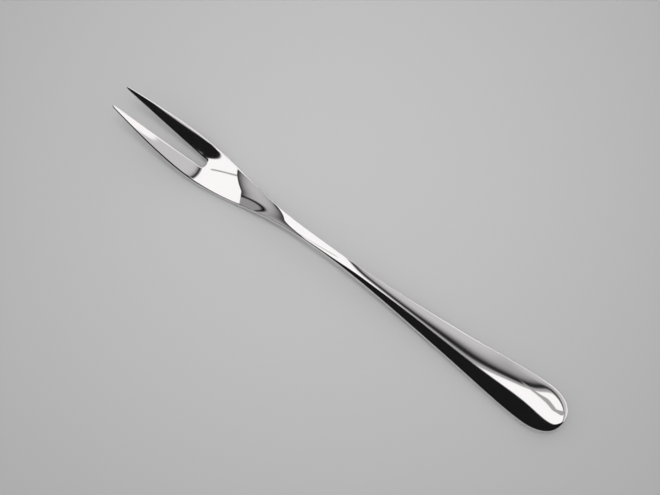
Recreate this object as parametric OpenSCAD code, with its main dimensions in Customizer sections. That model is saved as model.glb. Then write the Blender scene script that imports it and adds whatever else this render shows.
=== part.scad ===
// Two-tined meat fork, forged in one piece from stainless steel.
// A domed teardrop handle runs through a slim arched neck into a dished head with two long tines.
// +X points to the tine tips and +Z up. The fork lies on the flat back of its handle and on the
// belly of its head, with the origin under the middle of its length.

/* [Handle] */
// Distance from the handle's end to the narrowest place of the neck
handle_len = 114; // [80:1:150]
// Greatest width of the handle
handle_w = 18.7; // [14:0.1:26]
// Distance from the handle's end to its widest place
end_len = 15; // [9:0.5:20]
// Bluntness of the rounded end, where 2 gives an ellipse
end_bluntness = 2.5; // [2:0.1:3]
// Distance from the handle's end to the middle of its taper
taper_at = 34; // [25:1:60]
// Width of the handle at the middle of its taper
taper_w = 15; // [9:0.1:17]
// Thickness of the handle at its very end
end_t = 4.1; // [2.4:0.1:6]
// Thickness of the handle where its flat back leaves the table
handle_t = 3.1; // [2.4:0.1:4.5]
// Fall of the handle's domed top from the centre line to the edge
handle_crown = 0.5; // [0.2:0.1:1.6]
// Length of the flat back that rests on the table
rest_len = 26; // [15:1:40]

/* [Neck] */
// Least width of the neck
neck_w = 4.2; // [3:0.1:7]
// Thickness of the neck
neck_t = 3.6; // [2.6:0.1:6]
// Fall of the neck's top from the centre line to the edge
neck_crown = 0.1; // [0:0.1:1]
// Height of the neck's underside above the table
neck_lift = 5.5; // [1:0.1:9]
// Height of the underside half way up from the handle to the neck
arch_lift = 2.4; // [1:0.1:9]
// Distance from the neck back to that half way place
arch_len = 34; // [10:1:42]

/* [Head] */
// Distance from the neck to the lowest place of the head
shank_len = 48; // [28:1:60]
// Width half way between the neck and the head
shank_w = 6.8; // [3.5:0.1:9]
// Distance from the lowest place of the head to the root of the gap
head_len = 8; // [4:0.5:20]
// Greatest width of the head
head_w = 17; // [12:0.1:24]
// Thickness of the head
head_t = 2.4; // [1.8:0.1:4]
// Depth of the head's dish, from its edges to its middle
head_dish = 0.4; // [0:0.1:1.2]

/* [Tines] */
// Length of the gap between the tines
tine_len = 40; // [30:0.5:60]
// Distance from the root of the gap to the widest place of the head
shoulder_len = 5; // [2:0.5:12]
// Height of the underside above the table at the widest place of the head
shoulder_lift = 3.1; // [0.5:0.1:6]
// Width of the gap at its root
gap_root_w = 3.2; // [2:0.1:5]
// Length of the rounding at the gap's root
root_round = 0.7; // [0.5:0.1:2]
// Width of the gap at the tips
gap_tip_w = 8.1; // [4:0.1:9.5]
// Width of one tine at its tip
tip_w = 1; // [0.6:0.1:2.5]
// Thickness of one tine at its tip
tip_t = 1.3; // [0.8:0.1:2.5]
// Height of the tips' underside above the table
tip_lift = 16.7; // [8:0.1:24]

/* [Edges] */
// Reach of the rounding along the outer edges
edge_r = 0.6; // [0.3:0.1:1.2]
// Reach of the rounding along the gap's edges
gap_edge_r = 0.5; // [0.2:0.1:1]

/* [Hidden] */

// Stations along the fork, measured from the handle's end
neck_x = handle_len;
arch_x = neck_x - arch_len;
belly_x = neck_x + shank_len;
root_x = belly_x + head_len;
shoulder_x = root_x + shoulder_len;
tip_x = root_x + tine_len;

// The tine tips are rounded over this length
tip_round = tip_w;
// Share of a tine's tip and of its gap wall that the rounding leaves flat
tip_flat = 0.3;
wall_flat = 0.45;

// Number of points from the middle of the fork, or from the gap, to its outer edge
across = 9;
// Greatest step between sections, and the number of sections in a rounded stretch
step_len = 3.5;
round_steps = 8;

// Each shape is a smooth curve through its own few places: [station, value]
half_widths = [
    [end_len, handle_w / 2],
    [taper_at, taper_w / 2],
    [neck_x, neck_w / 2],
    [(neck_x + belly_x) / 2, shank_w / 2],
    [shoulder_x, head_w / 2],
    [tip_x, gap_tip_w / 2 + tip_w]
];
undersides = [
    [0, 0],
    [rest_len, 0],
    [arch_x, arch_lift],
    [neck_x, neck_lift],
    [belly_x, 0],
    [shoulder_x, shoulder_lift],
    [tip_x, tip_lift]
];
thicknesses = [[0, end_t], [rest_len, handle_t], [neck_x, neck_t], [belly_x, head_t], [tip_x, tip_t]];
crowns = [[0, handle_crown], [neck_x, neck_crown], [belly_x, -head_dish], [tip_x, 0]];
// The underside is flat across the handle and bellies out below the dish
bellies = [[0, 0], [rest_len, 0], [neck_x, neck_crown], [belly_x, head_dish], [tip_x, 0]];

// Slope of the straight line after place i of a curve
function chord(c, i) = (c[i + 1][1] - c[i][1]) / (c[i + 1][0] - c[i][0]);

// Slope at place i: level at the start and at each high or low, and free at the last place.
// Elsewhere it is the slope of the parabola through the place and its neighbours.
function slope(c, i) =
    i == 0 ? 0 :
    i == len(c) - 1 ? (3 * chord(c, i - 1) - slope(c, i - 1)) / 2 :
    let (a = chord(c, i - 1), b = chord(c, i),
         before = c[i][0] - c[i - 1][0], after = c[i + 1][0] - c[i][0])
    a * b <= 0 ? 0 :
    sign(a) * min(abs(after * a + before * b) / (before + after), 3 * abs(a), 3 * abs(b));

// Value at x of the smooth curve through the places of c
function curve(c, x, i = 0) =
    x > c[i + 1][0] && i < len(c) - 2 ? curve(c, x, i + 1) :
    let (h = c[i + 1][0] - c[i][0], t = min(max((x - c[i][0]) / h, 0), 1))
    c[i][1] * (1 + 2 * t) * pow(1 - t, 2)
    + c[i + 1][1] * t * t * (3 - 2 * t)
    + h * t * (1 - t) * (slope(c, i) * (1 - t) - slope(c, i + 1) * t);

// Quarter round that climbs from 0 at t = 0 to 1 at t = 1
function quarter(t, power = 2) = t >= 1 ? 1 : pow(1 - pow(1 - max(t, 0), power), 1 / power);

// Half-width of the gap, which has a round root and opens towards the tips
function gap(x) =
    x <= root_x ? 0 :
    quarter((x - root_x) / root_round)
    * (gap_root_w + (gap_tip_w - gap_root_w) * (x - root_x) / tine_len) / 2;

// Half-width of the fork without the rounding of the tips
function flank(x) = curve(half_widths, x) * quarter(x / end_len, end_bluntness);

// How far each edge of a tine draws in at its tip
function draw_in(x) =
    (flank(x) - gap(x)) / 2 * (1 - tip_flat) * (1 - quarter((tip_x - x) / tip_round));

function outer(x) = flank(x) - draw_in(x);
function inner(x) = x <= root_x ? 0 : gap(x) + draw_in(x);

// Distance from a place on a section to the outer edge, square to that edge
function edge_distance(x, y, dx = 0.02) =
    let (lean = (outer(min(x + dx, tip_x)) - outer(max(x - dx, 0))) / (2 * dx))
    (outer(x) - y) / sqrt(1 + lean * lean);

// Share of the thickness that is left by the rounded edges
function rounding(x, y) =
    let (wall_r = min(gap_edge_r, inner(x)), wall = quarter((y - inner(x)) / max(wall_r, 0.01)))
    quarter(edge_distance(x, y) / edge_r) * (x <= root_x ? 1 : wall_flat + (1 - wall_flat) * wall);

function top(x, y) =
    curve(undersides, x) + curve(thicknesses, x) - curve(crowns, x) * pow(y / outer(x), 2);
function bottom(x, y) = curve(undersides, x) + curve(bellies, x) * pow(y / outer(x), 2);

// Point of a section at a share of the way out, on its upper side (side 1) or lower side (side -1)
function skin(x, share, side) =
    let (
        y = inner(x) + (outer(x) - inner(x)) * (1 - cos(180 * share)) / 2,
        middle = (top(x, y) + bottom(x, y)) / 2,
        half = (top(x, y) - bottom(x, y)) / 2
    )
    [x, y, middle + side * half * rounding(x, y)];

// Closed section of the left half: out along the top, round the edge and back along the underside
function section(x) = concat(
    [for (i = [0:across]) skin(x, i / across, 1)],
    [for (i = [across - 1:-1:0]) skin(x, i / across, -1)]
);

// Even stations between two places, without the second
function spread(a, b) = let (n = ceil((b - a) / step_len)) [for (i = [0:n - 1]) a + (b - a) * i / n];

// Stations that crowd towards place a, where a rounding starts, without that place
function crowd(a, b) = [for (i = [1:round_steps - 1]) a + (b - a) * (1 - cos(90 * i / round_steps))];

// All stations after the pole at the handle's end
tip_stations = crowd(tip_x, tip_x - tip_round);
stations = concat(
    crowd(0, end_len),
    spread(end_len, root_x),
    [root_x],
    crowd(root_x, root_x + root_round),
    spread(root_x + root_round, tip_x - tip_round),
    [tip_x - tip_round],
    [for (i = [len(tip_stations) - 1:-1:0]) tip_stations[i]],
    [tip_x]
);

// Left half of the fork, lofted from a pole at the handle's end to the flat of the tine's tip
module half_fork() {
    ring = 2 * across + 1;
    last = len(stations) - 1;
    pole = [0, 0, curve(undersides, 0) + curve(thicknesses, 0) / 2];
    points = concat([pole], [for (x = stations) each section(x)]);
    at = function (i, k) 1 + i * ring + k % ring;
    polyhedron(points, concat(
        [for (k = [0:ring - 1]) [0, at(0, k), at(0, k + 1)]],
        [for (i = [0:last - 1], k = [0:ring - 1]) each [
            [at(i, k), at(i + 1, k), at(i + 1, k + 1)],
            [at(i, k), at(i + 1, k + 1), at(i, k + 1)]
        ]],
        [[for (k = [ring - 1:-1:0]) at(last, k)]]
    ));
}

module fork() {
    color("silver") translate([-tip_x / 2, 0, 0]) {
        half_fork();
        mirror([0, 1, 0]) half_fork();
    }
}

fork();
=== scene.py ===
"""Two-tined meat fork of mirror-polished stainless steel, lying on a pale table under soft studio light."""

import logging
import math
from dataclasses import dataclass
from enum import Enum

import bmesh
import bpy
import numpy as np
from mathutils import Matrix, Vector


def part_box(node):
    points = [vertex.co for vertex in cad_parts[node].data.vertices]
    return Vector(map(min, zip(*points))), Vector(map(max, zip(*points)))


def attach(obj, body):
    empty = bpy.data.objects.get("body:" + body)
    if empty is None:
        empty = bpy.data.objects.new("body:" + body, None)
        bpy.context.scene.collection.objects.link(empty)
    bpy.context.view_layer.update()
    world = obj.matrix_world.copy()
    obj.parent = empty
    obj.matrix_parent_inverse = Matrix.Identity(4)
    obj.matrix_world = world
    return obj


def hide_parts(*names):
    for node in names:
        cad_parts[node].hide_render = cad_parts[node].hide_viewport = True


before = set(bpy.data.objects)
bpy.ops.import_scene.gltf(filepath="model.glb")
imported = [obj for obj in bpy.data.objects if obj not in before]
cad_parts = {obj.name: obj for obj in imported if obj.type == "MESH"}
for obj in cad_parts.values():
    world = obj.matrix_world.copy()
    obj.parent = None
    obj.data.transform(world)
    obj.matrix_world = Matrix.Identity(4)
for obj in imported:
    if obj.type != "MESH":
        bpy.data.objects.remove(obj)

MM = 0.001
NODE = "fork"
BODY = "root"

# Distances in metres: half width of the skin's open middle, points that are welded, edges too short to keep
MIDDLE_REACH = 1e-7
WELD_REACH = 1e-6
LEAST_EDGE = 1e-8

# A Mix node has sockets of the same name for each kind of data, so those for colour are taken by number
MIX_FACTOR, MIX_A, MIX_B, MIX_RESULT = 0, 6, 7, 2

log = logging.getLogger("fork")


class Side(Enum):
    """The two faces of the fork: the one that is looked at and the one it lies on."""

    TOP = 1.0
    UNDER = -1.0


class Field:
    """A value in a node tree that adds, multiplies and compares like a number."""

    def __init__(self, tree: bpy.types.NodeTree, socket: bpy.types.NodeSocket) -> None:
        """Keeps the tree and the socket that gives the value."""
        self.tree = tree
        self.socket = socket

    def math(self, operation: str, *others: "Field | float") -> "Field":
        """Adds a math node that takes this value first.

        Args:
            operation: The node's operation, such as "ADD".
            others: The other values that the operation takes.

        Returns:
            The node's result.
        """
        node = self.tree.nodes.new("ShaderNodeMath")
        node.operation = operation
        for slot, value in zip(node.inputs, (self, *others)):
            if isinstance(value, Field):
                self.tree.links.new(value.socket, slot)
            else:
                slot.default_value = value
        return Field(self.tree, node.outputs["Value"])

    def __add__(self, other: "Field | float") -> "Field":
        """This value plus another."""
        return self.math("ADD", other)

    def __sub__(self, other: "Field | float") -> "Field":
        """This value less another."""
        return self.math("SUBTRACT", other)

    def __mul__(self, other: "Field | float") -> "Field":
        """This value times another."""
        return self.math("MULTIPLY", other)

    def __truediv__(self, other: "Field | float") -> "Field":
        """This value divided by another."""
        return self.math("DIVIDE", other)

    def rest(self) -> "Field":
        """What is left of one after this value."""
        return self.math("MULTIPLY_ADD", -1.0, 1.0)

    def squared(self) -> "Field":
        """This value times itself."""
        return self.math("MULTIPLY", self)

    def root(self) -> "Field":
        """The square root of this value."""
        return self.math("SQRT")

    def clamped(self) -> "Field":
        """This value held between zero and one."""
        return self.math("MAXIMUM", 0.0).math("MINIMUM", 1.0)

    def quarter_round(self) -> "Field":
        """Quarter circle that climbs from zero to one as this value does, and stays at one."""
        return self.clamped().rest().squared().rest().root()

    def step(self, soft: float) -> "Field":
        """One where this value is above zero, with an edge that is soft over a width."""
        return self.math("MULTIPLY_ADD", 1.0 / soft, 0.5).clamped()

    def mixed(self, other: "Field | float", share: "Field") -> "Field":
        """This value, with a share of it taken over by another."""
        return self * share.rest() + share * other


@dataclass(frozen=True)
class SmoothCurve:
    """A cubic curve with no kink in its bend, through a few places along the fork."""

    places: tuple[tuple[float, float], ...]

    def __call__(self, x: np.ndarray) -> np.ndarray:
        """Value of the curve.

        Args:
            x: Distances from the handle's end.

        Returns:
            The curve's value at each distance.
        """
        at, value = np.array(self.places).T
        gap = np.diff(at)
        chord = np.diff(value) / gap
        system = np.eye(len(at))
        jump = np.zeros(len(at))
        for i in range(1, len(at) - 1):
            system[i, i - 1:i + 2] = gap[i - 1], 2 * (gap[i - 1] + gap[i]), gap[i]
            jump[i] = 6 * (chord[i] - chord[i - 1])
        bend = np.linalg.solve(system, jump)
        i = np.clip(np.searchsorted(at, x, side="right") - 1, 0, len(gap) - 1)
        b = (x - at[i]) / gap[i]
        a = 1 - b
        sag = ((a**3 - a) * bend[i] + (b**3 - b) * bend[i + 1]) * gap[i] ** 2 / 6
        return a * value[i] + b * value[i + 1] + sag


def quarter(t: np.ndarray, power: float = 2.0) -> np.ndarray:
    """Quarter round that climbs from zero at t = 0 to one at t = 1.

    Args:
        t: Share of the way along the rounding.
        power: Bluntness, where 2 gives an ellipse.

    Returns:
        The height of the rounding at each share.
    """
    return (1 - (1 - np.clip(t, 0, 1)) ** power) ** (1 / power)


def crowd(start: float, end: float, count: int) -> np.ndarray:
    """Stations that crowd towards the first of two places, where a rounding starts.

    Args:
        start: The place that they crowd towards.
        end: The other place, which isn't among them.
        count: How many stations there are.

    Returns:
        The stations, from start on.
    """
    return start + (end - start) * (1 - np.cos(np.linspace(0, np.pi / 2, count, endpoint=False)))


def spread(start: float, end: float, step: float) -> np.ndarray:
    """Even stations from one place up to another, which isn't among them.

    Args:
        start: The first station.
        end: The place where they stop.
        step: The greatest distance between two stations.

    Returns:
        The stations.
    """
    return np.linspace(start, end, math.ceil((end - start) / step), endpoint=False)


def point_table(name: str, columns: dict[str, np.ndarray]) -> bpy.types.Object:
    """Object of loose points that carry one number in each column.

    Args:
        name: The object's name.
        columns: The numbers of each column, one for each point.

    Returns:
        The new object, linked to the scene.
    """
    count = len(next(iter(columns.values())))
    mesh = bpy.data.meshes.new(name)
    mesh.vertices.add(count)
    for column, values in columns.items():
        mesh.attributes.new(column, "FLOAT", "POINT").data.foreach_set("value", values.astype(np.float32))
    table = bpy.data.objects.new(name, mesh)
    bpy.context.scene.collection.objects.link(table)
    return table


@dataclass(frozen=True)
class PolishedSteel:
    """Mirror-polished stainless steel with faint polishing lines, wiping marks and worn edges.

    Attributes:
        colour: Colour of the polished faces.
        worn_colour: Colour of the worn edges.
        roughness: Roughness of the polished faces.
        worn_roughness: Roughness of the worn edges.
        mark_roughness: How much rougher a wiping mark or a polishing line is.
        smudge_scale: Wiping marks in a metre along X, Y and Z.
        smudge_detail: Finer layers of the wiping marks.
        streak_scale: Polishing lines in a metre along X, Y and Z.
        streak_detail: Finer layers of the polishing lines.
    """

    colour: tuple[float, float, float] = (0.79, 0.765, 0.77)
    worn_colour: tuple[float, float, float] = (0.86, 0.85, 0.85)
    roughness: float = 0.018
    worn_roughness: float = 0.12
    mark_roughness: float = 0.012
    smudge_scale: tuple[float, float, float] = (90.0, 220.0, 220.0)
    smudge_detail: float = 3.0
    streak_scale: tuple[float, float, float] = (300.0, 9000.0, 9000.0)
    streak_detail: float = 2.0

    def material(self) -> bpy.types.Material:
        """Makes the finish.

        Returns:
            The material, which reads the fork's own "edge" attribute and Object coordinates.
        """
        steel = bpy.data.materials.new("polished_steel")
        steel.use_nodes = True
        tree = steel.node_tree
        shader = tree.nodes["Principled BSDF"]
        shader.inputs["Metallic"].default_value = 1.0
        place = tree.nodes.new("ShaderNodeTexCoord")
        edge = tree.nodes.new("ShaderNodeAttribute")
        edge.attribute_name = "edge"
        wear = Field(tree, edge.outputs["Fac"])
        tint = tree.nodes.new("ShaderNodeMix")
        tint.data_type = "RGBA"
        tree.links.new(wear.socket, tint.inputs[MIX_FACTOR])
        tint.inputs[MIX_A].default_value = (*self.colour, 1.0)
        tint.inputs[MIX_B].default_value = (*self.worn_colour, 1.0)
        tree.links.new(tint.outputs[MIX_RESULT], shader.inputs["Base Color"])
        smudge = self.noise(tree, place, self.smudge_scale, self.smudge_detail)
        streak = self.noise(tree, place, self.streak_scale, self.streak_detail)
        rough = smudge * self.mark_roughness + streak * self.mark_roughness + self.roughness
        rough = rough + wear * (self.worn_roughness - self.roughness)
        tree.links.new(rough.socket, shader.inputs["Roughness"])
        return steel

    def noise(
        self,
        tree: bpy.types.NodeTree,
        place: bpy.types.Node,
        scale: tuple[float, float, float],
        detail: float,
    ) -> Field:
        """Adds a soft random pattern that is stretched along the fork.

        Args:
            tree: The material's node tree.
            place: The Texture Coordinate node.
            scale: How many marks there are in a metre along X, Y and Z.
            detail: How many finer layers the pattern has.

        Returns:
            The pattern, from 0 to 1.
        """
        mapping = tree.nodes.new("ShaderNodeMapping")
        mapping.inputs["Scale"].default_value = scale
        tree.links.new(place.outputs["Object"], mapping.inputs["Vector"])
        noise = tree.nodes.new("ShaderNodeTexNoise")
        noise.inputs["Scale"].default_value = 1.0
        noise.inputs["Detail"].default_value = detail
        tree.links.new(mapping.outputs["Vector"], noise.inputs["Vector"])
        return Field(tree, noise.outputs["Fac"])


@dataclass(frozen=True)
class Section:
    """One cross section of the fork. Sizes are millimetres.

    Attributes:
        at: Distance from the handle's end.
        half_width: Distance from the centre line to the edge.
        top: Height of the top above the table, on the centre line.
        thickness: Distance from the top down to the underside.
        dome: Fall of the top from the centre line to the edge, below zero where it is dished.
        brow: Further fall of the top, which comes in close to the edge.
        edge_r: Radius of the rounded edge.
    """

    at: float
    half_width: float
    top: float
    thickness: float
    edge_r: float
    dome: float = 0.0
    brow: float = 0.0


@dataclass
class ForkBlank:
    """The fork's one forged piece: domed handle, slim neck, dished head and two tines.

    Its skin is lofted through named sections. Sizes are millimetres, and places are distances from the
    handle's end.

    Attributes:
        length: Length of the fork.
        finish: Its steel.
        end: Section at the handle's end, without the rounding of its outline.
        widest: Section at the handle's widest place.
        rest: Section where the flat back is about to leave the table.
        taper: Section in the middle of the handle's taper.
        arch: Section where the handle has risen off the table.
        rise: Section on the way up to the neck.
        crest: Section at the narrowest and highest place of the neck.
        shank: Section on the way down to the head.
        bowl: Section at the lowest place of the head.
        root: Section just before the gap between the tines.
        tines: Section where the tines bend up.
        tip: Section at the tine tips, without their rounding.
        end_len: Length of the handle's rounded end.
        end_bluntness: Bluntness of that end, where 2 gives an ellipse.
        root_x: Place of the gap's root.
        root_round: Length of the rounding at the gap's root.
        gap_root_w: Width of the gap at its root.
        gap_tip_w: Width of the gap at the tips.
        tip_round: Length over which the tine tips are rounded.
        gap_edge_r: Radius of the edges along the gap.
        shoulder_fall: Fall of the soft shoulder along the handle's edge.
        shoulder_w: Width of that shoulder.
        shoulder_end: Place where it has run out.
        wall_flat: Share of the gap's wall that the rounding leaves flat.
        belly_share: Depth of the belly under the head, as a share of the dish above it.
        station_step: Greatest distance between two stations.
        end_stations: Number of stations on the handle's rounded end.
        brink_stations: Number of stations on the rounded edge before the gap's root.
        root_stations: Number of stations on the rounding of the gap's root.
        tip_stations: Number of stations on the rounding of the tips.
        flat_points: Number of points across the flat of a section.
        round_points: Number of steps round each edge of a section.
        wall_lifts: Heights of the points up the gap's wall, from -1 at its foot to 1 at its top.
    """

    length: float
    finish: PolishedSteel
    end: Section = Section(
        at=0.0, half_width=9.4, top=4.6, thickness=4.6, dome=0.1, brow=0.2, edge_r=0.6,
    )
    widest: Section = Section(
        at=13.0, half_width=9.45, top=3.65, thickness=3.65, dome=0.75, brow=-0.15, edge_r=0.6,
    )
    rest: Section = Section(
        at=28.0, half_width=8.45, top=3.25, thickness=3.25, dome=0.55, brow=-0.25, edge_r=0.6,
    )
    taper: Section = Section(
        at=46.0, half_width=6.5, top=3.7, thickness=3.2, dome=0.25, brow=0.25, edge_r=0.5,
    )
    arch: Section = Section(
        at=66.0, half_width=4.6, top=4.9, thickness=3.3, dome=0.25, brow=0.2, edge_r=0.4,
    )
    rise: Section = Section(
        at=92.0, half_width=2.65, top=7.3, thickness=3.5, dome=0.15, brow=0.0, edge_r=0.4,
    )
    crest: Section = Section(
        at=116.0, half_width=2.1, top=8.95, thickness=3.6, dome=0.1, brow=0.05, edge_r=0.4,
    )
    shank: Section = Section(
        at=138.0, half_width=3.35, top=6.1, thickness=3.0, dome=-0.05, brow=0.1, edge_r=0.4,
    )
    bowl: Section = Section(
        at=154.0, half_width=6.1, top=2.75, thickness=2.6, dome=-0.6, brow=0.1, edge_r=0.5,
    )
    root: Section = Section(
        at=168.0, half_width=8.2, top=3.25, thickness=2.3, dome=-0.55, brow=0.15, edge_r=0.7,
    )
    tines: Section = Section(
        at=182.0, half_width=8.35, top=7.2, thickness=1.9, dome=-0.45, brow=0.2, edge_r=0.7,
    )
    tip: Section = Section(
        at=210.0, half_width=5.05, top=18.2, thickness=1.3, dome=-0.15, edge_r=0.45,
    )
    end_len: float = 15.0
    end_bluntness: float = 2.5
    root_x: float = 170.0
    root_round: float = 0.7
    gap_root_w: float = 3.2
    gap_tip_w: float = 8.1
    tip_round: float = 1.6
    gap_edge_r: float = 0.5
    shoulder_fall: float = 0.12
    shoulder_w: float = 2.6
    shoulder_end: float = 60.0
    wall_flat: float = 0.45
    belly_share: float = 0.6
    station_step: float = 0.45
    end_stations: int = 30
    brink_stations: int = 8
    root_stations: int = 10
    tip_stations: int = 10
    flat_points: int = 24
    round_points: int = 8
    wall_lifts: tuple[float, ...] = (-0.4, 0.4, 1.0)

    def curve(self, size: str) -> SmoothCurve:
        """Smooth curve of one of the sections' sizes along the fork.

        Args:
            size: The size's name in Section.

        Returns:
            The curve through all sections, from the handle's end to the tip.
        """
        sections = (
            self.end, self.widest, self.rest, self.taper, self.arch, self.rise,
            self.crest, self.shank, self.bowl, self.root, self.tines, self.tip,
        )
        return SmoothCurve(tuple((section.at, getattr(section, size)) for section in sections))

    def stations(self) -> np.ndarray:
        """Places of the sections, dense where the fork is rounded.

        Returns:
            Distances from the handle's end, growing.
        """
        brink = self.root_x - self.gap_edge_r
        root_end = self.root_x + self.root_round
        tip_start = self.length - self.tip_round
        return np.concatenate([
            crowd(0.0, self.end_len, self.end_stations),
            spread(self.end_len, brink, self.station_step),
            spread(brink, self.root_x, self.gap_edge_r / self.brink_stations),
            crowd(self.root_x, root_end, self.root_stations),
            spread(root_end, tip_start, self.station_step),
            crowd(self.length, tip_start, self.tip_stations)[::-1],
        ])

    def profiles(self) -> dict[str, np.ndarray]:
        """Sizes of each section.

        Returns:
            One column for each size, with a number for each station.
        """
        x = self.stations()
        top = self.curve("top")(x)
        dome = self.curve("dome")(x)
        edge_r = self.curve("edge_r")(x)
        flank = self.curve("half_width")(x) * quarter(x / self.end_len, self.end_bluntness)
        opening = np.clip((x - self.root_x) / (self.length - self.root_x), 0, 1)
        gap = (self.gap_root_w + (self.gap_tip_w - self.gap_root_w) * opening) / 2
        started = quarter((x - self.root_x) / self.root_round)
        tip = 1 - quarter((self.length - x) / self.tip_round)
        draw_in = np.where(x > self.root_x, (flank - gap) / 2 * tip, 0.0)
        outer = flank - draw_in
        gap = gap + draw_in
        inner = gap * started
        slant = np.hypot(1, np.gradient(outer, x))
        reach_in = np.minimum(self.gap_edge_r, (outer - inner) / 2) * started
        return {
            "x": x,
            "edge_r": edge_r,
            "outer": outer,
            "flank": flank,
            "inner": inner,
            "gap": gap,
            "ahead": np.clip((self.root_x + self.root_round - x) / self.root_round, 0, None),
            "slant": slant,
            "reach_in": reach_in,
            "reach_out": np.minimum(edge_r * slant, outer - inner - reach_in),
            "top": top,
            "under": np.maximum(top - self.curve("thickness")(x), 0.0),
            "dome": dome,
            "brow": self.curve("brow")(x),
            "shoulder": self.shoulder_fall * np.clip(1 - x / self.shoulder_end, 0, 1),
            "belly": np.maximum(-dome, 0.0) * self.belly_share,
        }

    def section(self) -> dict[str, np.ndarray]:
        """Points of one closed section: out along the top, round the edge, back and up the gap's wall.

        Returns:
            For each point its share of the way across, how far it is into the inner and the outer
            rounding, and which side it lies on.
        """
        turn = np.linspace(0, np.pi / 2, self.round_points + 1)
        flat = np.linspace(0, 1, self.flat_points + 2)[1:-1]
        inward = np.concatenate([np.cos(turn), np.zeros(len(flat) + len(turn))])
        share = np.concatenate([np.zeros(len(turn)), flat, np.ones(len(turn))])
        outward = np.concatenate([np.zeros(len(turn) + len(flat)), np.sin(turn)])
        top = np.stack([inward, share, outward, np.full(len(share), Side.TOP.value)], -1)
        under = top[-2::-1].copy()
        under[:, 3] = Side.UNDER.value
        wall = np.array([[1.0, 0.0, 0.0, lift] for lift in self.wall_lifts])
        table = np.concatenate([top, under, wall])
        return dict(zip(("inward", "share", "outward", "lift"), table.T))

    def skin_tree(self) -> bpy.types.NodeTree:
        """Builds the geometry tree that spans a skin over the sections.

        Returns:
            The tree. Its object holds the stations, and its inputs give the section's points, the
            roundings and the material.
        """
        tree = bpy.data.node_groups.new("fork_skin", "GeometryNodeTree")
        for name, kind in (
            ("Stations", "NodeSocketGeometry"),
            ("Section", "NodeSocketObject"),
            ("Gap edge radius", "NodeSocketFloat"),
            ("Root depth", "NodeSocketFloat"),
            ("Shoulder width", "NodeSocketFloat"),
            ("Flat of the wall", "NodeSocketFloat"),
            ("Length", "NodeSocketFloat"),
            ("Finish", "NodeSocketMaterial"),
        ):
            tree.interface.new_socket(name, in_out="INPUT", socket_type=kind)
        tree.interface.new_socket("Skin", in_out="OUTPUT", socket_type="NodeSocketGeometry")
        given = tree.nodes.new("NodeGroupInput").outputs
        size = {name: Field(tree, given[name]) for name in given.keys() if given[name].type == "VALUE"}
        section = tree.nodes.new("GeometryNodeObjectInfo")
        tree.links.new(given["Section"], section.inputs["Object"])
        rows = self.point_count(tree, given["Stations"])
        ring = self.point_count(tree, section.outputs["Geometry"])
        grid = tree.nodes.new("GeometryNodeMeshGrid")
        tree.links.new(rows.socket, grid.inputs["Vertices X"])
        tree.links.new(ring.socket, grid.inputs["Vertices Y"])
        index = Field(tree, tree.nodes.new("GeometryNodeInputIndex").outputs["Index"])
        row = ((index + 0.5) / ring).math("FLOOR")
        point = index - row * ring

        def station(name: str) -> Field:
            """A station's number in one column."""
            return self.looked_up(tree, given["Stations"], name, row)

        def corner(name: str) -> Field:
            """A section point's number in one column."""
            return self.looked_up(tree, section.outputs["Geometry"], name, point)

        inner, outer, gap = station("inner"), station("outer"), station("gap")
        reach_in, reach_out, ahead = station("reach_in"), station("reach_out"), station("ahead")
        flat = outer - reach_out - inner - reach_in
        y = inner + reach_in * corner("inward").rest() + flat * corner("share")
        y = y + reach_out * corner("outward")
        across = (y / station("flank")).squared()
        to_edge = (outer - y) / station("slant")
        near_edge = (to_edge / size["Shoulder width"]).clamped().rest().squared()
        top = station("top") - station("dome") * across - station("brow") * across.squared()
        top = top - station("shoulder") * near_edge
        under = station("under") + station("belly") * across
        beyond = y / gap
        off_root = (ahead.squared() + beyond.squared()).root()
        lean = ((ahead / size["Root depth"]).squared() + (beyond / gap).squared()).root() / off_root
        to_gap = (off_root - 1.0) / lean
        wall = (to_gap / size["Gap edge radius"]).quarter_round()
        wall = wall * size["Flat of the wall"].rest() + size["Flat of the wall"]
        full = (to_edge / station("edge_r")).quarter_round() * wall
        z = (top + under) * 0.5 + (top - under) * 0.5 * full * corner("lift")
        spot = tree.nodes.new("ShaderNodeCombineXYZ")
        for slot, value in zip(spot.inputs, (station("x") - size["Length"] * 0.5, y, z)):
            tree.links.new((value * MM).socket, slot)

        placed = tree.nodes.new("GeometryNodeSetPosition")
        tree.links.new(grid.outputs["Mesh"], placed.inputs["Geometry"])
        tree.links.new(spot.outputs["Vector"], placed.inputs["Position"])
        worn = tree.nodes.new("GeometryNodeStoreNamedAttribute")
        worn.data_type = "FLOAT"
        worn.domain = "POINT"
        worn.inputs["Name"].default_value = "edge"
        tree.links.new(placed.outputs["Geometry"], worn.inputs["Geometry"])
        tree.links.new(full.rest().socket, worn.inputs["Value"])
        self.close_skin(tree, worn.outputs["Geometry"], given["Finish"])
        return tree

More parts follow.
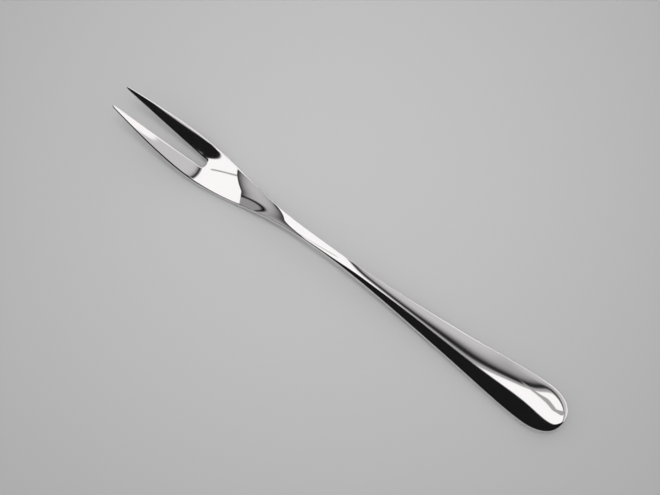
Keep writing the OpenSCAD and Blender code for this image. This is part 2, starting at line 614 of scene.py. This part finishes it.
    def close_skin(
        self,
        tree: bpy.types.NodeTree,
        half: bpy.types.NodeSocket,
        finish: bpy.types.NodeSocket,
    ) -> None:
        """Opens the half skin at the middle of the fork, mirrors it and joins both halves.

        Args:
            tree: The geometry tree.
            half: The half skin.
            finish: The material.
        """
        middle = tree.nodes.new("GeometryNodeDeleteGeometry")
        middle.domain = "FACE"
        spot = tree.nodes.new("ShaderNodeSeparateXYZ")
        tree.links.new(tree.nodes.new("GeometryNodeInputPosition").outputs["Position"], spot.inputs["Vector"])
        in_middle = Field(tree, spot.outputs["Y"]).math("LESS_THAN", MIDDLE_REACH)
        tree.links.new(half, middle.inputs["Geometry"])
        tree.links.new(in_middle.socket, middle.inputs["Selection"])
        mirror = tree.nodes.new("GeometryNodeTransform")
        mirror.inputs["Scale"].default_value = (1.0, -1.0, 1.0)
        turned = tree.nodes.new("GeometryNodeFlipFaces")
        joined = tree.nodes.new("GeometryNodeJoinGeometry")
        welded = tree.nodes.new("GeometryNodeMergeByDistance")
        welded.inputs["Distance"].default_value = WELD_REACH
        smooth = tree.nodes.new("GeometryNodeSetShadeSmooth")
        real = tree.nodes.new("GeometryNodeRealizeInstances")
        dressed = tree.nodes.new("GeometryNodeSetMaterial")
        out = tree.nodes.new("NodeGroupOutput")
        tree.links.new(middle.outputs["Geometry"], mirror.inputs["Geometry"])
        tree.links.new(mirror.outputs["Geometry"], turned.inputs["Mesh"])
        tree.links.new(middle.outputs["Geometry"], joined.inputs["Geometry"])
        tree.links.new(turned.outputs["Mesh"], joined.inputs["Geometry"])
        tree.links.new(joined.outputs["Geometry"], welded.inputs["Geometry"])
        tree.links.new(welded.outputs["Geometry"], smooth.inputs["Geometry"])
        tree.links.new(smooth.outputs["Geometry"], real.inputs["Geometry"])
        tree.links.new(real.outputs["Geometry"], dressed.inputs["Geometry"])
        tree.links.new(finish, dressed.inputs["Material"])
        tree.links.new(dressed.outputs["Geometry"], out.inputs["Skin"])

    def point_count(self, tree: bpy.types.NodeTree, points: bpy.types.NodeSocket) -> Field:
        """Counts the points of a table in a geometry tree.

        Args:
            tree: The geometry tree.
            points: The table.

        Returns:
            The number of its points.
        """
        count = tree.nodes.new("GeometryNodeAttributeDomainSize")
        tree.links.new(points, count.inputs["Geometry"])
        return Field(tree, count.outputs["Point Count"])

    def looked_up(
        self,
        tree: bpy.types.NodeTree,
        points: bpy.types.NodeSocket,
        name: str,
        row: Field,
    ) -> Field:
        """Looks up a number in a table of points.

        Args:
            tree: The geometry tree.
            points: The table.
            name: The column.
            row: Which point is asked for.

        Returns:
            The number.
        """
        column = tree.nodes.new("GeometryNodeInputNamedAttribute")
        column.data_type = "FLOAT"
        column.inputs["Name"].default_value = name
        sample = tree.nodes.new("GeometryNodeSampleIndex")
        sample.data_type = "FLOAT"
        sample.domain = "POINT"
        tree.links.new(points, sample.inputs["Geometry"])
        tree.links.new(column.outputs["Attribute"], sample.inputs["Value"])
        tree.links.new(row.socket, sample.inputs["Index"])
        return Field(tree, sample.outputs["Value"])

    def build(self) -> bpy.types.Object:
        """Makes the fork as one plain closed mesh in its finish.

        Returns:
            The fork's object, at the origin.
        """
        stations = point_table("fork_stations", self.profiles())
        section = point_table("fork_section", self.section())
        tree = self.skin_tree()
        skin = stations.modifiers.new("skin", "NODES")
        skin.node_group = tree
        given = {
            "Section": section,
            "Gap edge radius": self.gap_edge_r,
            "Root depth": self.root_round,
            "Shoulder width": self.shoulder_w,
            "Flat of the wall": self.wall_flat,
            "Length": self.length,
            "Finish": self.finish.material(),
        }
        for item in tree.interface.items_tree:
            if item.name in given:
                skin[item.identifier] = given[item.name]
        ready = stations.evaluated_get(bpy.context.evaluated_depsgraph_get())
        mesh = bpy.data.meshes.new_from_object(ready)
        mesh.name = "fork_skin"
        stations.modifiers.remove(skin)
        for helper in (stations, section):
            bpy.data.objects.remove(helper)
        self.face_outwards(mesh)
        fork = bpy.data.objects.new("fork_skin", mesh)
        bpy.context.scene.collection.objects.link(fork)
        return fork

    def face_outwards(self, mesh: bpy.types.Mesh) -> None:
        """Turns all faces of a closed mesh outwards.

        Args:
            mesh: The mesh, which is changed in place.
        """
        skin = bmesh.new()
        skin.from_mesh(mesh)
        bmesh.ops.dissolve_degenerate(skin, dist=LEAST_EDGE, edges=skin.edges)
        bmesh.ops.recalc_face_normals(skin, faces=skin.faces)
        open_edges = sum(1 for edge in skin.edges if len(edge.link_faces) != 2)
        volume = skin.calc_volume() / MM**3
        log.info("%s: %d faces, %d open edges, %.1f mm3", mesh.name, len(skin.faces), open_edges, volume)
        skin.to_mesh(mesh)
        skin.free()


@dataclass(frozen=True)
class TablePaper:
    """Matte pale grey paper on the table.

    Attributes:
        colour: Its colour.
        roughness: Its roughness.
        specular: Strength of its faint sheen.
    """

    colour: tuple[float, float, float] = (0.52, 0.52, 0.52)
    roughness: float = 0.9
    specular: float = 0.1

    def material(self) -> bpy.types.Material:
        """Makes the paper's look.

        Returns:
            The material.
        """
        paper = bpy.data.materials.new("table_paper")
        paper.use_nodes = True
        shader = paper.node_tree.nodes["Principled BSDF"]
        shader.inputs["Base Color"].default_value = (*self.colour, 1.0)
        shader.inputs["Roughness"].default_value = self.roughness
        shader.inputs["Specular IOR Level"].default_value = self.specular
        return paper


@dataclass(frozen=True)
class LightPanels:
    """Two white light panels side by side over the fork, with a grey seam and border, in a dark frame.

    Their south-west corner is slanted off. Sizes and places are metres on the ceiling, and tones are those
    of the finished picture.

    Attributes:
        west: Place of the west edge.
        corner_north: Place where the slanted corner starts on the west edge.
        corner_slope: How far the slanted corner goes east for each metre south.
        east: Place where the white ends and the border starts.
        south: Place of the south edge.
        north: Place of the north edge.
        border_w: Width of the grey border on the east.
        seam_at: Place of the seam, to the north.
        seam_slope: How far the seam goes south for each metre east.
        seam_w: Width of the seam.
        seam_end: Place where the seam ends on the east.
        seam_fade: Width over which the seam ends.
        frame_w: Width of the dark frame on the east.
        frame_shade: Share of the light that the frame takes.
        fade_east: Reach of the frame's shade on the east.
        fade_west: Reach of the frame's shade on the west.
        white: Tone of the panels.
        grey: Tone of the seam and the border.
        soft: Width of soft edges.
        border_soft: Width of the soft edge between the white and the border.
    """

    west: float = -0.295
    corner_north: float = 0.255
    corner_slope: float = 0.4
    east: float = 0.1265
    south: float = 0.0145
    north: float = 0.55
    border_w: float = 0.01
    seam_at: float = 0.085
    seam_slope: float = -0.02
    seam_w: float = 0.012
    seam_end: float = 0.055
    seam_fade: float = 0.02
    frame_w: float = 0.009
    frame_shade: float = 0.8
    fade_east: float = 0.0105
    fade_west: float = 0.06
    white: float = 0.97
    grey: float = 0.62
    soft: float = 0.006
    border_soft: float = 0.003

    def past_west_edge(self, east: Field, north: Field) -> Field:
        """How far a place is to the east of the panels' west edge, with its slanted corner.

        Args:
            east: Place on the ceiling to the right.
            north: Place on the ceiling away from the camera.

        Returns:
            The distance in metres, which is below zero to the west of the panels.
        """
        cut_off = (north * -1.0 + self.corner_north).math("MAXIMUM", 0.0) * self.corner_slope
        return east - self.west - cut_off

    def cover(self, east: Field, north: Field) -> Field:
        """Where the panels and their border are.

        Args:
            east: Place on the ceiling to the right.
            north: Place on the ceiling away from the camera.

        Returns:
            One on the panels and zero elsewhere.
        """
        from_west = self.past_west_edge(east, north).step(self.soft)
        to_east = (east * -1.0 + self.east + self.border_w).step(self.soft)
        from_south = (north - self.south).step(self.soft)
        to_north = (north * -1.0 + self.north).step(self.soft)
        return from_west * to_east * from_south * to_north

    def tone(self, east: Field, north: Field) -> Field:
        """How bright the panels are.

        Args:
            east: Place on the ceiling to the right.
            north: Place on the ceiling away from the camera.

        Returns:
            The panels' white, or the grey of their seam and border.
        """
        off_seam = (north + east * self.seam_slope - self.seam_at).math("ABSOLUTE")
        seam = (off_seam * -1.0 + self.seam_w / 2).step(self.soft)
        seam = seam * (east * -1.0 + self.seam_end).step(self.seam_fade)
        marks = seam.math("MAXIMUM", (east - self.east).step(self.border_soft))
        return marks * (self.grey - self.white) + self.white

    def shade(self, east: Field, north: Field) -> Field:
        """How dark the frame is, which fades into what is beside it.

        Args:
            east: Place on the ceiling to the right.
            north: Place on the ceiling away from the camera.

        Returns:
            What is left of the light, from the frame's own shade up to one.
        """
        frame_end = self.east + self.border_w + self.frame_w
        past_east = (east - frame_end).math("MAXIMUM", 0.0)
        past_west = self.past_west_edge(east, north).math("MINIMUM", 0.0)
        near_east = (past_east / -self.fade_east).math("EXPONENT")
        near_west = (past_west / self.fade_west).math("EXPONENT")
        return (near_east * near_west * self.frame_shade).rest()


@dataclass(frozen=True)
class MirrorRoom:
    """What the steel mirrors: the light panels on a ceiling of grey cloth, with a dark room to the south.

    Sizes are metres. The ceiling's own X runs to the right of the picture and its own Y away from the
    camera, both turned a little. Tones are those of the finished picture, from 0 to 1.

    Attributes:
        panels: The light panels.
        azimuth: Turn of the camera round the fork, in degrees.
        turn: Further turn of the ceiling, in degrees.
        height: Height of the ceiling.
        ceiling_size: Length of the ceiling's sides.
        mirrored: Share of the light that the steel mirrors.
        gamma: Power that turns a tone into light.
        cloth_tone: Tone of the cloth.
        corner_tone: Tone of the cloth past the beam, west of the panels.
        beam_at: Place of the dark beam across the cloth there, to the north.
        beam_w: Width of the beam.
        beam_shade: Share of the light that the beam takes.
        dark_tone: Tone of the dark room.
        dark_drop: How far the dark room's edge drops to the south past the panels.
        dark_slope: How much further it drops for each metre east.
        patch_at: Place on the east where a white patch starts.
        patch_soft: Width of the patch's soft edge.
        window_west: Place of the west edge of the white stretch in the far north.
        window_south: Place of that stretch's south edge.
        bar_height: Height of the grey bar and its foot.
        bar_at: Place of the bar, to the right and away from the camera.
        bar_size: Size of the bar, the same ways.
        foot_at: Place of the bar's foot.
        foot_size: Size of the foot.
        foot_turn: Turn of the foot, in degrees.
        soft: Width of soft edges.
    """

    panels: LightPanels
    azimuth: float
    turn: float = -12.0
    height: float = 0.652
    ceiling_size: float = 2.6
    mirrored: float = 0.78
    gamma: float = 2.2
    cloth_tone: float = 0.745
    corner_tone: float = 0.55
    beam_at: float = 0.345
    beam_w: float = 0.014
    beam_shade: float = 0.85
    dark_tone: float = 0.115
    dark_drop: float = 0.0135
    dark_slope: float = 0.2
    patch_at: float = 0.2985
    patch_soft: float = 0.002
    window_west: float = -0.2
    window_south: float = 0.4
    bar_height: float = 0.12
    bar_at: tuple[float, float] = (0.0905, -0.00825)
    bar_size: tuple[float, float] = (0.0028, 0.0135)
    foot_at: tuple[float, float] = (0.0955, -0.0108)
    foot_size: tuple[float, float] = (0.011, 0.0045)
    foot_turn: float = 33.0
    soft: float = 0.006

    def place(self, height: float) -> Matrix:
        """Frame of a level sheet at a height, turned as the ceiling is."""
        turned = Matrix.Rotation(math.radians(self.azimuth + self.turn), 4, "Z")
        return Matrix.Translation((0.0, 0.0, height)) @ turned

    def ceiling_tone(self, east: Field, north: Field) -> Field:
        """How bright the ceiling is.

        Args:
            east: Place on the ceiling to the right.
            north: Place on the ceiling away from the camera.

        Returns:
            The tone there.
        """
        panels = self.panels
        tone = panels.shade(east, north) * self.cloth_tone
        on_west = (panels.past_west_edge(east, north) * -1.0).step(self.soft)
        past_beam = north - self.beam_at
        beam = ((past_beam / self.beam_w).squared() * -1.0).math("EXPONENT")
        tone = tone.mixed(self.corner_tone, past_beam.step(self.beam_w) * on_west)
        tone = tone * (beam * on_west * self.beam_shade).rest()
        past_panels = east - panels.east
        drop = past_panels.step(self.soft) * self.dark_drop
        drop = drop + past_panels.math("MAXIMUM", 0.0) * self.dark_slope
        tone = tone.mixed(self.dark_tone, (drop * -1.0 - north + panels.south).step(self.soft))
        patch = (east - self.patch_at).step(self.patch_soft) * north.step(self.soft)
        window = (east - self.window_west).step(self.soft) * (north - self.window_south).step(self.soft)
        tone = tone.mixed(panels.white, patch.math("MAXIMUM", window))
        return tone.mixed(panels.tone(east, north), panels.cover(east, north))

    def hang(
        self,
        name: str,
        at: Matrix,
        size: tuple[float, float],
    ) -> tuple[bpy.types.Object, bpy.types.NodeTree]:
        """Hangs a level sheet that only the steel sees.

        Args:
            name: The sheet's name.
            at: Its frame.
            size: Its size to the right and away from the camera.

        Returns:
            The sheet, and its material's node tree with no node in it.
        """
        bpy.ops.mesh.primitive_plane_add(size=1.0)
        sheet = bpy.context.object
        sheet.name = name
        sheet.data.transform(Matrix.Diagonal((*size, 1.0, 1.0)))
        sheet.matrix_world = at
        sheet.visible_camera = False
        sheet.visible_diffuse = False
        sheet.visible_shadow = False
        cloth = bpy.data.materials.new(name)
        cloth.use_nodes = True
        cloth.node_tree.nodes.clear()
        sheet.data.materials.append(cloth)
        return sheet, cloth.node_tree

    def glow(self, tree: bpy.types.NodeTree, tone: Field) -> None:
        """Makes a sheet's material give the light that the steel mirrors as a tone.

        Args:
            tree: The material's node tree.
            tone: The tone in the finished picture.
        """
        light = tree.nodes.new("ShaderNodeEmission")
        strength = tone.math("POWER", self.gamma) / self.mirrored
        tree.links.new(strength.socket, light.inputs["Strength"])
        out = tree.nodes.new("ShaderNodeOutputMaterial")
        tree.links.new(light.outputs["Emission"], out.inputs["Surface"])

    def build(self) -> None:
        """Hangs the ceiling, and the grey bar with its foot over the handle's end."""
        whole = (self.ceiling_size, self.ceiling_size)
        ceiling, tree = self.hang("studio_ceiling", self.place(self.height), whole)
        place = tree.nodes.new("ShaderNodeTexCoord")
        spot = tree.nodes.new("ShaderNodeSeparateXYZ")
        tree.links.new(place.outputs["Object"], spot.inputs["Vector"])
        east, north = Field(tree, spot.outputs["X"]), Field(tree, spot.outputs["Y"])
        self.glow(tree, self.ceiling_tone(east, north))
        level = self.place(self.bar_height)
        bar_frame = level @ Matrix.Translation((*self.bar_at, 0.0))
        foot_turn = Matrix.Rotation(math.radians(self.foot_turn), 4, "Z")
        foot_frame = level @ Matrix.Translation((*self.foot_at, 0.0)) @ foot_turn
        for name, at, size in (
            ("studio_bar", bar_frame, self.bar_size),
            ("studio_bar_foot", foot_frame, self.foot_size),
        ):
            piece, tree = self.hang(name, at, size)
            grey = tree.nodes.new("ShaderNodeValue")
            grey.outputs["Value"].default_value = self.panels.grey
            self.glow(tree, Field(tree, grey.outputs["Value"]))
            log.info("%s hangs over the handle", piece.name)
        log.info("%s hangs over the fork", ceiling.name)


@dataclass
class Studio:
    """The table, the soft lights and the camera. Sizes are metres.

    Attributes:
        paper: The table's paper.
        table_size: Length of the table's sides.
        view_azimuth: Turn of the camera round the fork, in degrees.
        view_elevation: Angle of the camera above the table, in degrees.
        view_distance: Distance of the camera from the place that it looks at.
        view_aim: The place that it looks at.
        lens: Focal length, in millimetres.
        near_clip: Nearest distance that the camera sees.
        key_power: Power of the lamp, in watts.
        key_size: Length of the lamp's sides.
        key_height: Height of the lamp.
        key_spread: Angle of the lamp's beam, in degrees.
        key_at: Place of the lamp on the ceiling, to the right and away from the camera.
        room_light: Strength of the room's even light.
        near_tone: Strength of what the steel mirrors past the ceiling on the camera's side.
        far_tone: Strength of what it mirrors on the far side.
        room_fade: Width over which the one goes over into the other.
    """

    paper: TablePaper
    table_size: float = 4.0
    view_azimuth: float = 216.22
    view_elevation: float = 79.0
    view_distance: float = 0.63
    view_aim: tuple[float, float, float] = (0.00624, -0.00208, 0.00404)
    lens: float = 89.07
    near_clip: float = 0.01
    key_power: float = 0.105
    key_size: float = 0.29
    key_height: float = 0.652
    key_spread: float = 30.0
    key_at: tuple[float, float] = (-0.013, 0.038)
    room_light: float = 0.66
    near_tone: float = 0.12
    far_tone: float = 0.9
    room_fade: float = 0.8

    def table(self) -> bpy.types.Object:
        """Lays the pale table top under the fork.

        Returns:
            The table top's object.
        """
        bpy.ops.mesh.primitive_plane_add(size=self.table_size)
        top = bpy.context.object
        top.name = "table_top"
        top.data.materials.append(self.paper.material())
        return top

    def camera(self) -> bpy.types.Object:
        """Sets the camera at the photograph's angle.

        Returns:
            The camera's object, which is the scene's camera.
        """
        turn, tilt = math.radians(self.view_azimuth), math.radians(self.view_elevation)
        look = Vector((-math.sin(turn) * math.cos(tilt), math.cos(turn) * math.cos(tilt), -math.sin(tilt)))
        data = bpy.data.cameras.new("camera")
        data.lens = self.lens
        data.clip_start = self.near_clip
        eye = bpy.data.objects.new("camera", data)
        eye.location = Vector(self.view_aim) - look * self.view_distance
        eye.rotation_euler = look.to_track_quat("-Z", "Y").to_euler()
        bpy.context.scene.collection.objects.link(eye)
        bpy.context.scene.camera = eye
        return eye

    def key_light(self, room: MirrorRoom) -> bpy.types.Object:
        """Hangs the soft lamp under the light panels.

        Args:
            room: The room that the panels hang in.

        Returns:
            The lamp's object, which the steel doesn't mirror.
        """
        data = bpy.data.lights.new("key_light", "AREA")
        data.shape = "RECTANGLE"
        data.size = self.key_size
        data.size_y = self.key_size
        data.spread = math.radians(self.key_spread)
        data.energy = self.key_power
        lamp = bpy.data.objects.new("key_light", data)
        lamp.matrix_world = room.place(self.key_height) @ Matrix.Translation((*self.key_at, 0.0))
        lamp.visible_glossy = False
        bpy.context.scene.collection.objects.link(lamp)
        return lamp

    def room_glow(self) -> bpy.types.World:
        """Sets the even light of the room, and what the steel mirrors past the ceiling.

        Returns:
            The world, dark on the camera's side for mirrored rays and bright on the far side.
        """
        world = bpy.data.worlds.new("studio_room")
        bpy.context.scene.world = world
        world.use_nodes = True
        tree = world.node_tree
        place = tree.nodes.new("ShaderNodeTexCoord")
        spot = tree.nodes.new("ShaderNodeSeparateXYZ")
        tree.links.new(place.outputs["Generated"], spot.inputs["Vector"])
        far = (Field(tree, spot.outputs["Y"]) * -1.0).step(self.room_fade)
        mirrored = far * (self.far_tone - self.near_tone) + self.near_tone
        path = tree.nodes.new("ShaderNodeLightPath")
        glossy = Field(tree, path.outputs["Is Glossy Ray"])
        strength = glossy.rest() * self.room_light + glossy * mirrored
        tree.links.new(strength.socket, tree.nodes["Background"].inputs["Strength"])
        tree.nodes["Background"].inputs["Color"].default_value = (1.0, 1.0, 1.0, 1.0)
        return world

    def build(self) -> None:
        """Sets the whole studio up."""
        room = MirrorRoom(panels=LightPanels(), azimuth=self.view_azimuth)
        self.camera()
        self.table()
        room.build()
        self.key_light(room)
        self.room_glow()
        bpy.context.scene.view_settings.view_transform = "Standard"


def main() -> None:
    """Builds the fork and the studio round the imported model."""
    logging.basicConfig(level=logging.INFO, format="%(name)s: %(message)s")
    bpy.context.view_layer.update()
    low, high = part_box(NODE)
    Studio(TablePaper()).build()
    fork = ForkBlank(length=(high.x - low.x) / MM, finish=PolishedSteel()).build()
    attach(fork, BODY)
    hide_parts(NODE)
    log.info("%s rides on %s", fork.name, BODY)


if __name__ == "__main__":
    main()
